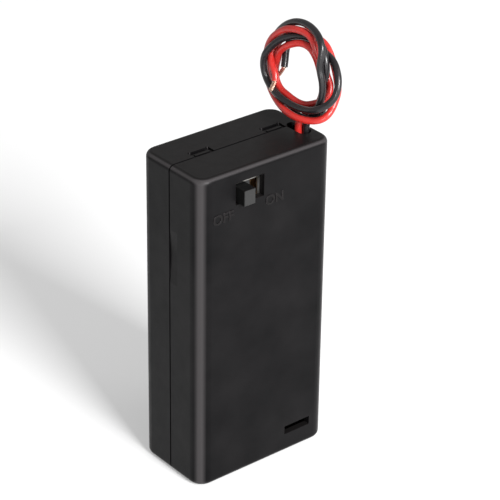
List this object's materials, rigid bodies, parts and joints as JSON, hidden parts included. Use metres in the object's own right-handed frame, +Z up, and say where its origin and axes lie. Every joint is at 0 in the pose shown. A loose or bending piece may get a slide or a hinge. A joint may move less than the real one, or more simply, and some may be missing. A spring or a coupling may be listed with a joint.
{
  "type": "enclosed battery holder with switch",
  "caption": "Enclosed holder for round cells side by side, with a slide switch, a lift-off cover, spring contacts and two coiled leads.",
  "frame": {"origin": "middle of the bottom end, on the plane of the seam between the two halves", "axes": "+Z up the long side, from the bottom end to the end where the leads leave; -Y is the front wall with the switch; the cover lifts off towards +Y"},
  "size_m": [0.0346, 0.0217, 0.0912],
  "materials": {
    "black_abs": "fine moulded texture",
    "lever_plastic": "satin",
    "nickel_steel": "nickel plated",
    "spring_steel": "nickel plated wire",
    "contact_bronze": "bright",
    "phenolic_board": "matt laminate",
    "solder": "bright solder",
    "red_insulation": "soft gloss",
    "black_insulation": "soft gloss",
    "tinned_copper": "tinned strands"
  },
  "bodies": {
    "base": {"base_shell": "black_abs", "switch_frame": "nickel_steel", "switch_board": "phenolic_board", "switch_terminal_off": "contact_bronze", "switch_terminal_common": "contact_bronze", "switch_terminal_on": "contact_bronze", "positive_plate": "nickel_steel", "negative_plate": "nickel_steel", "negative_spring": "spring_steel", "bridge_plate": "nickel_steel", "bridge_spring": "spring_steel", "jumper_wire": "red_insulation", "lead_red_inner": "red_insulation", "lead_black_inner": "black_insulation", "solder_positive": "solder", "solder_common": "solder", "solder_on": "solder", "solder_negative": "solder", "lead_red": "red_insulation", "lead_black": "black_insulation", "leads_coil": "red_insulation", "lead_red_tip": "tinned_copper", "lead_black_tip": "tinned_copper"},
    "switch_slider": {"switch_lever": "lever_plastic", "switch_wiper": "contact_bronze"},
    "cover": {"cover": "black_abs"}
  },
  "joints": [
    {"name": "switch_slide", "type": "slide", "parent": "base", "child": "switch_slider", "axis": [1, 0, 0], "range_m": [0, 0.00275]},
    {"name": "cover_lift", "type": "slide", "parent": "base", "child": "cover", "axis": [0, 1, 0], "range_m": [0, 0.025]}
  ]
}
